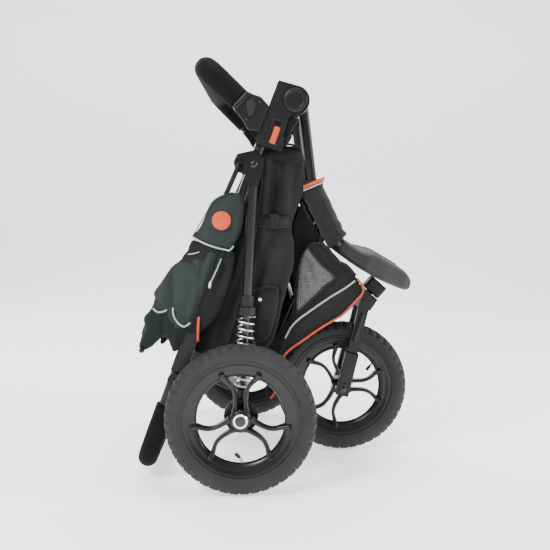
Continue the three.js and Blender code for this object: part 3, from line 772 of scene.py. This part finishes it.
side_hem = [in_hood(bearing, 176) for bearing in (213.5, 210, 206, 202, 198, 194, 190, 187)]
side_hem = [(x, 240.5, z) for x, z in side_hem] + [(-14, 240, 496)]
zip_line = [(-40, 239, 470), (-49, 241, 448), (-60, 240, 424)]
for stem, points, radius, mat, body in (
        ("hood_piping", side_hem, 1.7, GREY_TRIM, "handle_frame"),
        ("hood_top_seam", [(-17, 241, 603), (-52, 242, 588), (-70, 241, 560), (-96, 239, 516)], 1.1, HOOD,
         "handle_frame"),
        ("flap_piping_a", [(-178, 239, 370), (-172, 241, 364), (-163, 241, 362), (-150, 239, 366)], 1.5,
         GREY_TRIM, fan),
        ("flap_piping_b", [(-138, 238, 371), (-137, 241, 357), (-130, 242, 343), (-120, 242, 334),
                           (-113, 242, 333), (-103, 240, 340)], 1.6, GREY_TRIM, fan),
        ("hood_welt", [(-106, 240.5, 479), (-94, 242, 481), (-83, 241, 484)], 1.0, GREY_TRIM,
         "handle_frame"),
        ("hood_seam", [(-46, 238, 484), (-64, 239.5, 441), (-79, 239.5, 398), (-101, 238, 343)], 1.5,
         BLACK_FABRIC, "handle_frame")):
    pair(piping, stem, points, radius, mat, body)
pair(piping, "zip_tape", zip_line, 4.2, WEBBING, "handle_frame", 16, 6, flat(0.35))
pair(piping, "zip_teeth", [(x, y + 1.2, z) for x, y, z in zip_line], 1.3, CHROME, "handle_frame", 10, 6)
pair(side_plate, "zip_pull", [(-61, 425), (-59, 424), (-60, 414), (-63, 410), (-66, 414), (-64, 424)],
     240, 242.5, CHROME, "handle_frame", 0.6)
pair(disc, "badge", (-38, 547), 19, 240, 247.5, ORANGE, "handle_frame", 2.0)
pair(turned_out, "badge_rim", [(15.2, 0), (17.2, 0), (16.8, 1), (15.6, 1)], (-38, 547), 247, ORANGE,
     "handle_frame")
pair(disc, "hood_toggle", (-203, 283), 5.6, 230, 241, PLASTIC, fan, 3.4)
pair(piping, "pull_strap", [(-86, 237, 352), (-87.5, 238.5, 325), (-88, 237, 301)], 2.6, ORANGE_TRIM,
     "handle_frame", 12, 6, flat(0.4))
for name, side in SIDES:
    arm = [at(x, side * 234.5, z) for x, z in (HOOD_PIVOT, in_hood(204, 60), in_hood(205, 120))]
    sweep(f"hood_arm_{name}", resample(arm, 12), 5.0, PLASTIC, "handle_frame", sides=20, shape=flat(0.5))

# bearing and distance from the pivot: down the back, through the loose folds, up the visor
CROWN = [(201.6, 186), (201.6, 230), (201.8, 280), (202, 330), (202.4, 372), (203.2, 396), (204.2, 402),
         (204.9, 386), (205.4, 362), (206.0, 386), (206.9, 404), (207.8, 388), (208.4, 362), (209.0, 388),
         (209.9, 406), (210.8, 394), (211.4, 372), (212.0, 340), (212.2, 300), (212.2, 250)]
crown_line = open_curve([in_hood(*place) for place in CROWN], 4)


def crown_sway(s, i):
    loose = 3.0 + 6.5 * max(0.0, i / len(crown_line) - 0.65) / 0.35
    sag = noise.noise(Vector((s * 2.3, i * 0.07, 1.7))) * loose
    sag += noise.noise(Vector((s * 7, i * 0.05, 4.0))) * loose * 0.6
    bow = -7 * (1 - s * s)
    return sag * 0.9 + bow * 0.2, sag * 0.4 + bow


crown, rows = cloth_sheet("hood_crown", crown_line, 53, 226, crown_sway, HOOD, 1.6)
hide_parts("hood_rear", "hood_front")
fan(crown)
sweep("hood_visor_piping", smooth_path(rows[-1][::4], 5), 2.2, GREY_TRIM, fan, sides=12)


# ---- seat ----------------------------------------------------------------------------------------
def seat_cushion():
    """The seat back: quilted, crowned between cross seams."""
    across, along = 44, 60
    verts = []
    for layer in (0, 1):
        for i in range(along + 1):
            for k in range(across + 1):
                s, t = -1 + 2 * k / across, i / along
                rim_s = 1 - abs(s) ** 6
                rim_t = 1 - abs(2 * t - 1) ** 10
                quilt = abs(math.sin(math.pi * t * 5)) ** 0.5 * abs(math.cos(math.pi * s * 1.5)) ** 0.35
                bump = (8 + 8 * quilt) * (rim_s * rim_t) ** 0.5
                bump += noise.noise(Vector((s * 4, t * 6, layer))) * 1.5
                x, z = on_handle(22 + t * 328, 32 + (bump if layer else -bump * 0.85))
                verts.append(at(x, s * 164, z))
    size = (along + 1) * (across + 1)
    grid = ring_faces(along + 1, across + 1, closed_ring=False)
    faces = [quad[::-1] for quad in grid] + [tuple(size + corner for corner in quad) for quad in grid]
    ring = [*range(across + 1)] + [i * (across + 1) + across for i in range(1, along + 1)]
    ring += [along * (across + 1) + k for k in range(across - 1, -1, -1)]
    ring += [i * (across + 1) for i in range(along - 1, 0, -1)]
    faces += [(a, b, b + size, a + size) for a, b in zip(ring, ring[1:] + ring[:1])]
    cushion = make("seat_back_cushion", verts, faces, BLACK_FABRIC, "seat_back", ["seat_back"])


seat_cushion()
edge = [(24, 120), (22, 150), (40, 165), (190, 166), (330, 165), (350, 140)]
edge = [(on_handle(along, 32)[0], y, on_handle(along, 32)[1]) for along, y in edge]
pair(piping, "seat_piping", edge, 2.2, WEBBING, "seat_back")

WING = [(44, 690), (60, 700), (82, 700), (104, 698), (122, 692), (128, 676), (131, 650), (131, 612),
        (124, 592), (112, 560), (104, 528), (111, 492), (108, 452), (98, 415), (86, 372), (74, 322),
        (62, 292), (36, 268), (0, 254), (-40, 250), (-74, 262), (-100, 282), (-88, 330), (-60, 402),
        (-26, 488), (10, 588), (28, 640)]
WING_FOLDS = [(52, 690, 38, 470, 6.5, 9), (72, 694, 62, 500, -6.0, 8), (92, 690, 92, 530, 6.0, 7),
              (112, 680, 108, 560, -3.5, 7), (30, 600, -14, 420, 6.0, 8), (60, 480, 20, 300, 6.2, 9),
              (88, 470, 58, 320, -3.6, 8), (10, 470, -40, 300, -5.6, 8), (40, 420, 0, 280, 5.4, 7),
              (-20, 420, -66, 290, 3.6, 9)]
YOKE = [(50, 684), (66, 690), (84, 692), (106, 690), (124, 684), (127, 668), (104, 660), (80, 664),
        (58, 672), (44, 674)]
POCKET = [(24, 402), (36, 410), (52, 414), (68, 412), (78, 404), (74, 360), (64, 322), (50, 300),
          (20, 296), (12, 330), (16, 370)]
BAND = [(36, 216, 546), (52, 219, 545), (70, 218.5, 543), (86, 219, 543), (99, 215, 545)]
pair(soft_panel, "seat_wing", WING, 201, 208, BLACK_FABRIC, "handle_frame", 3.5, 2.4, WING_FOLDS, 7.0, 17.0)
pair(soft_panel, "wing_yoke", YOKE, 209, 214, LINING, "handle_frame", 3.0, 1.4,
     [(60, 676, 112, 680, 2.4, 4)], 25, 17.0, 3.2)
pair(soft_panel, "pocket", POCKET, 209, 215, BLACK_FABRIC, "handle_frame", 4, 1.4,
     [(40, 404, 32, 320, 1.8, 7)], 11, 17.0, 3.2)
pair(side_plate, "band_buckle", [(58, 560), (76, 560), (78, 530), (60, 530)], 219, 223.5, PLASTIC,
     "handle_frame", 1.6)
pair(piping, "webbing_band", BAND, 11, WEBBING, "handle_frame", 20, 8, flat(0.17))
for name, side in SIDES:
    for letter, row in (("a", 8), ("b", -8)):
        stitch = [(x, y + 1.8, z + row) for x, y, z in BAND]
        piping(f"band_stitch_{name}_{letter}", side, stitch, 0.7, BLACK_FABRIC, "handle_frame", 8)
pair(disc, "snap", (38, 386), 4.6, 217, 222.5, CHROME, "handle_frame", 1.6)
for stem, points, radius in (
        ("pocket_hem", [(24, 218, 401), (36, 220, 408), (52, 221, 412), (68, 220, 410),
                        (77, 218, 403)], 1.6),
        ("wing_seam", [(47, 213, 684), (40, 217, 600), (26, 217, 500), (2, 217, 400),
                       (-30, 215, 290)], 1.3),
        ("wing_top_binding", [(46, 210, 692), (62, 211, 701), (82, 211, 701.5), (104, 211, 699),
                              (121, 210, 693)], 2.4)):
    pair(piping, stem, points, radius, WEBBING, "handle_frame")


def bucket_sway(s, i):
    wave = noise.noise(Vector((s * 3, i * 0.2, 8.0))) * 1.6
    return wave, wave * 1.5 - 4 * (1 - s * s)


bucket_line = open_curve([(84, 672), (87, 640), (91, 608), (98, 588), (105, 600), (108, 630), (111, 660),
                          (114, 682)], 5)
bucket, _ = cloth_sheet("seat_bucket", bucket_line, 25, 160, bucket_sway, BLACK_FABRIC, 2.0)
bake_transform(bucket)


# ---- leg rest, sleeves and footrest --------------------------------------------------------------
def paired(top, bottom, count):
    """The two edge curves sampled at the same number of places."""
    out = []
    for line in (top, bottom):
        fine = open_curve(line, 10)
        lengths = np.concatenate([[0], np.cumsum([math.dist(a, b) for a, b in zip(fine, fine[1:])])])
        want = np.linspace(0, lengths[-1], count)
        out.append(list(zip(np.interp(want, lengths, [p[0] for p in fine]),
                            np.interp(want, lengths, [p[1] for p in fine]))))
    return list(zip(*out))


def pad(name, pairs, half_width, around, mat, node, swell=None):
    """A closed shell between pairs of top and bottom places, with a rounded-square section."""
    verts = []
    for i, (top, bottom) in enumerate(pairs):
        share = i / (len(pairs) - 1)
        mid = ((top[0] + bottom[0]) / 2, (top[1] + bottom[1]) / 2)
        rise = ((top[0] - bottom[0]) / 2, (top[1] - bottom[1]) / 2)
        half = half_width(mid[0], share)
        for k in range(around):
            angle = 2 * math.pi * k / around
            c, s = math.cos(angle), math.sin(angle)
            square = (abs(c) ** 5 + abs(s) ** 5) ** 0.2
            u, v = c / square, s / square
            if swell:
                v *= swell(u, share)
            verts.append(at(mid[0] + rise[0] * v, half * u, mid[1] + rise[1] * v))
    faces = ring_faces(len(pairs), around) + caps(len(pairs), around)
    return sharp(make(name, verts, faces, mat, "front_frame", [node]), 50)


def leg_rest():
    top = [(130, 690), (137, 660), (149, 622), (168, 584), (188, 546), (201, 516)]
    bottom = [(112, 688), (122, 650), (138, 602), (156, 568), (174, 532), (186, 504)]

    def half(x, share):
        return 140 + 4 * math.sin(math.pi * share)

    def quilted(u, share):
        return 0.72 + 0.28 * abs(math.sin(math.pi * (share * 4 + 0.02))) ** 0.5 * (1 - abs(u) ** 5)

    cushion = pad("leg_rest_pad", paired(top, bottom, 40), half, 64, BLACK_FABRIC, "leg_rest", quilted)


def foot_board():
    top = [(211, 511), (222, 503), (238, 493), (256, 482), (286, 476), (319, 457), (352, 437), (367, 421),
           (371, 409)]
    bottom = [(198, 486), (208, 472), (225, 459), (246, 444), (284, 421), (320, 403), (346, 392),
              (361, 388), (369, 398)]

    def half(x, share):
        wide = np.interp(x, [214, 262, 300, 335, 352, 372], [196, 194, 172, 144, 132, 104])
        return float(wide) * min(1.0, (1 - share) / 0.06 + 0.86)

    board = pad("foot_board", paired(top, bottom, 44), half, 96, DARK_PLASTIC, "footrest")
    modify(board, "SUBSURF", levels=1, render_levels=1)
    for number in range(5):
        x = 292 + number * 11
        z = float(np.interp(x, [286, 319, 352], [476, 457, 437]))
        reach = float(np.interp(x, [286, 352], [120, 90]))
        rib = [(x, -reach, z + 0.4), (x + 2, 0, z + 0.8), (x, reach, z + 0.4)]
        piping(f"foot_board_rib_{number}", 1, rib, 1.8, DARK_PLASTIC, "front_frame", steps=10)


leg_rest()
foot_board()


def wrinkled(seed):
    def shape(angle, share):
        place = Vector((math.cos(angle) * 1.6, share * 9, math.sin(angle) * 1.6 + seed))
        size = 1 + 0.05 * noise.noise(place) + 0.03 * math.sin(share * 34 + math.sin(angle * 2) * 1.5)
        return size, size
    return shape


def ribbon(name, centre, radius, tilt, height, mat):
    """A flat band round the front tube, higher at its front."""
    verts = []
    count = 56
    section = ((-0.5, -0.6), (-0.42, 0.5), (0.0, 0.9), (0.42, 0.5), (0.5, -0.6))
    for k in range(count):
        angle = 2 * math.pi * k / count
        for level, out in section:
            r = radius + out
            verts.append(at(centre[0] + r * math.cos(angle), centre[1] + r * math.sin(angle),
                            centre[2] + level * height + tilt * math.cos(angle)))
    return make(name, verts, ring_faces(count, len(section), closed_path=True), mat, "front_frame")


for name, side in SIDES:
    y = side * 190
    corners = [(144.6, y, 629), (147.4, y, 607), (194, y, 511.5), (201, y, 503.5)]
    sleeve = sweep(f"sleeve_{name}", resample(rounded(corners, 6, 4), 3), 23.2, BLACK_FABRIC, "front_frame",
                   [f"tube_sleeve_{name}"], sides=48, shape=wrinkled(side * 3.0))
    ribbon(f"sleeve_trim_orange_{name}", (145.6, y, 621.5), 25.4, 10.5, 7.5, ORANGE_TRIM)
    ribbon(f"sleeve_trim_grey_{name}", (145.9, y, 614.8), 25.0, 10.5, 2.8, GREY_TRIM)
pair(piping, "sleeve_seam", [(170, 213.5, 588), (183, 213.5, 560), (197, 213, 530), (206, 211, 512)], 1.0,
     WEBBING, "front_frame", 8)

# ---- basket --------------------------------------------------------------------------------------
BASKET = [(256, 389), (254, 404), (246, 420), (236, 434), (221, 452), (206, 458), (196, 464), (182, 486),
          (160, 500), (140, 498), (122, 470), (115, 440), (110, 400), (104, 352), (88, 325), (68, 298),
          (57, 262), (51, 226), (50, 164), (66, 157), (78, 198), (95, 258), (128, 285), (166, 314),
          (214, 343), (238, 364)]
MESH_PANEL = [(138, 490), (152, 472), (165, 456), (195, 426), (176, 407), (148, 380), (117, 353),
              (115, 391), (118, 426), (121, 458)]
GUSSET = [(127, 586), (138, 566), (150, 544), (162, 520), (174, 500), (186, 484), (196, 464), (190, 440),
          (150, 420), (112, 410), (107, 440), (104, 490), (106, 524), (114, 556)]
BOTTOM_EDGE = [(255, 391), (234, 368), (213, 346), (188, 331), (164, 316), (126, 289), (92, 262),
               (82, 226), (72, 186), (60, 166)]
BASKET_Y = 178.5                   # of the piping on the outside of the basket
for stem, outline, y_in, y_out, mat, puff, ripple, folds, seed, voxel in (
        ("basket_side", BASKET, 168, 173, BLACK_FABRIC, 3.0, 2.0,
         [(230, 420, 120, 330, 2.4, 8), (240, 400, 140, 320, -2.0, 6), (130, 470, 112, 380, 2.6, 6),
          (100, 330, 66, 220, 2.6, 7)], 13, 4.0),
        ("basket_mesh", MESH_PANEL, 175.6, 179.0, MESH, 1.2, 0.7,
         [(134, 478, 160, 410, 1.4, 7), (124, 440, 146, 392, 1.2, 7)], 15, 2.4),
        ("basket_gusset", GUSSET, 152, 158, LINING, 2.5, 2.4,
         [(130, 576, 150, 500, 3.2, 6), (150, 540, 172, 480, -2.8, 6), (112, 540, 120, 440, 3.0, 6)],
         19, 4.0)):
    pair(soft_panel, stem, outline, y_in, y_out, mat, "side_links", puff, ripple, folds, seed, 21.0, voxel)
for stem, share, points, radius, mat in (
        ("basket_grey_piping", 1, [(238, 419), (215, 402), (190, 387), (165, 370), (141, 353), (118, 336),
                                   (102, 318), (91, 297)], 1.9, GREY_TRIM),
        ("basket_orange_piping", 0.985, [(x - 1, z) for x, z in BOTTOM_EDGE], 2.4, ORANGE_TRIM),
        ("basket_front_piping", 0.985, [(254, 391), (256, 403), (250, 415), (243, 423)], 2.2, ORANGE_TRIM),
        ("basket_rim", 0.98, [(240, 430), (221, 451), (206, 458), (196, 464), (182, 486), (162, 499)], 2.8,
         WEBBING),
        ("basket_mesh_binding", 1, [(138, 489), (165, 456), (195, 427), (176, 408), (148, 381),
                                    (116, 354)], 2.0, WEBBING)):
    pair(piping, stem, [(x, BASKET_Y * share, z) for x, z in points], radius, mat, "side_links")


def floor_sway(s, i):
    wave = noise.noise(Vector((s * 3.5, i * 0.16, 2.0))) * 2.2
    return wave * 0.6 - 2, wave + 3 + 2.5 * (1 - s * s)


basket_floor, _ = cloth_sheet("basket_floor", open_curve(BOTTOM_EDGE, 5), 33, 172, floor_sway,
                              BLACK_FABRIC, 2.0)
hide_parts("basket")
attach(basket_floor, "side_links")


# ---- handlebar grip and bumper -------------------------------------------------------------------
def foam(seed, amount):
    def shape(angle, share):
        place = Vector((math.cos(angle) * 2, share * 40, math.sin(angle) * 2 + seed))
        size = 1 + amount * noise.noise(place)
        return size, size
    return shape


x, z = on_handle(562)
end_x, end_z = on_handle(691)
grip_corners = [(x, HANDLE_Y, z), (end_x, HANDLE_Y, end_z), (end_x, -HANDLE_Y, end_z), (x, -HANDLE_Y, z)]
grip = sweep("grip_foam", resample(rounded(grip_corners, 48, 12), 6), 20.5, FOAM, "handlebar",
             ["handlebar_grip"], sides=40, shape=foam(1.0, 0.012))
bumper_corners = [(-2, 236, 785), (-70, 236, 852), (-70, -236, 852), (-2, -236, 785)]
bumper = sweep("bumper_cover", resample(rounded(bumper_corners, 52, 12), 6), 23.5, FOAM, "bumper",
               ["bumper_bar"], sides=40, shape=foam(5.0, 0.02))
seam = [(-15, 240, 768), (-70, 236, 828), (-84, 190, 838), (-86, 0, 838), (-84, -190, 838),
        (-70, -236, 828), (-15, -240, 768)]
piping("bumper_seam", 1, seam, 1.2, WEBBING, "bumper", steps=12)

# ---- clips, lock arms and hinge rings ------------------------------------------------------------
CLIP_SHELL = [(18, 798), (26, 794), (41, 789), (49, 781), (57, 772), (48, 748), (36, 722), (16, 724),
              (3, 746), (-13, 766)]
CLIP_COLLAR = [(-16, 770), (14, 801), (22, 794), (-7, 762)]
CLIP_LEVER = [(12, 778), (24, 786), (32, 774), (26, 752), (16, 750)]
LOCK_ARM = [(98, 760), (116, 759), (117, 748), (104, 728), (93, 699), (81, 693)]
SLIDER_FRAME = [(66, 748), (84, 741), (72, 694), (52, 701)]
CAP_RING = [(15.5, 0.6), (17.5, 1.6), (19.5, 1.6), (21.5, 0.6), (19.5, 0), (17.5, 0)]
pair(side_plate, "bumper_clip_shell", CLIP_SHELL, 250.6, 256.5, PLASTIC, "bumper", 2.4)
pair(side_plate, "bumper_clip_collar", CLIP_COLLAR, 211, 260.5, PLASTIC, "bumper", 4.0)
pair(side_plate, "bumper_clip_lever", CLIP_LEVER, 256, 260, DARK_PLASTIC, "bumper", 1.6)
pair(side_plate, "lock_arm", LOCK_ARM, 206, 212, PLASTIC, "handle_frame")
pair(turned_out, "hinge_cap_ring", CAP_RING, FOLD_HINGE, 254, PLASTIC, "handle_frame", 72)
for name, side in SIDES:
    for number, place in enumerate(((14, 744), (40, 778))):
        screw(f"clip_screw_{name}_{number}", side, place, 256.4, 2.6, "bumper")
    loop = rounded([(x, side * 250.6, z) for x, z in SLIDER_FRAME + SLIDER_FRAME[:2]], 5, 6)[7:]
    sweep(f"slider_frame_{name}", resample(loop, 3), 1.5, PLASTIC, "handle_frame", sides=12)

# ---- screws, and fork stays in lighter plastic as a painted highlight ----------------------------
for name, side in SIDES:
    screw(f"hinge_screw_{name}", side, (110, 750), 249.6, 4.2, "handle_frame")
    screw(f"pivot_screw_{name}", side, LEG_PIVOT, outer(f"leg_bracket_{name}"), 6.5, "handle_frame")
    for number, along in enumerate((412, 470)):
        y = outer(f"adjuster_housing_{name}") - 1
        screw(f"adjuster_screw_{name}_{number}", side, on_handle(along, 8), y, 3.4, "handle_frame")
    screw(f"handlebar_screw_{name}", side, HANDLE_JOINT, outer(f"handlebar_joint_{name}"), 5.0, "handlebar")
    screw(f"fork_screw_{name}", side, (FRONT_AXLE[0] + 4, FRONT_AXLE[1] + 12), 52.6, 4.4, "fork_lower")
    screw(f"fork_axle_{name}", side, FRONT_AXLE, 52.6, 7.5, "fork_lower")
# a strip of lighter grained plastic along the fork blade: the stay, and a painted highlight on the blade's
# edge
pair(piping, "fork_stay", [(272, 50.5, 330), (266, 51, 312), (259, 51, 290), (252, 51, 266)], 5.2,
     DARK_PLASTIC, "fork", 20, 6, flat(0.42))


# ---- floor, lights and camera --------------------------------------------------------------------
def studio():
    """A floor that curves up behind the stroller, four lamps and the camera."""
    below, back, bend = -0.0008, 2.2, 1.6
    profile = [(-18.0, below), (back, below)]
    profile += [(back + bend * math.sin(t), bend - bend * math.cos(t))
                for t in np.linspace(0.08, math.pi / 2, 14)]
    profile += [(back + bend, 6.0)]
    data = bpy.data.meshes.new("floor")
    verts = [(x, y, z) for y, z in profile for x in (-14, 14)]
    data.from_pydata(verts, [], ring_faces(len(profile), 2, closed_ring=False))
    shade_smooth(data)
    floor = in_scene("floor", data)
    mat, shader = new_material("studio_floor", (0.97, 0.97, 0.97), 0.8)
    shader.inputs["Emission Color"].default_value = (1, 1, 1, 1)
    shader.inputs["Emission Strength"].default_value = 0.95
    grain(mat, shader, 60.0, 0.02)
    data.materials.append(mat)
    for name, place, size, power, target in (
            ("key", (-1.5, -1.9, 2.4), 0.8, 88, (0, 0, 0.4)),
            ("side", (2.6, -0.7, 1.3), 0.7, 56, (0, 0, 0.45)),
            ("top", (0.2, -0.1, 3.0), 1.6, 80, (0, 0, 0.3)),
            ("back", (-1.4, 1.9, 1.8), 1.2, 36, (0, 0, 0.5))):
        lamp = bpy.data.lights.new(name, "AREA")
        lamp.size = size
        lamp.energy = power
        made = in_scene(name, lamp)
        made.location = place
        made.rotation_euler = (Vector(target) - Vector(place)).to_track_quat("-Z", "Y").to_euler()
    world = bpy.data.worlds.new("world")
    world.use_nodes = True
    background = world.node_tree.nodes["Background"]
    background.inputs["Color"].default_value = (1, 1, 1, 1)
    background.inputs["Strength"].default_value = 0.3
    bpy.context.scene.world = world
    data = bpy.data.cameras.new("camera")
    data.lens = 49.74
    camera = in_scene("camera", data)
    camera.location = (-0.0252, -1.7665, 0.5851)
    camera.rotation_euler = (math.pi / 2 - 0.0965, 0, -0.0098)
    bpy.context.scene.camera = camera


studio()
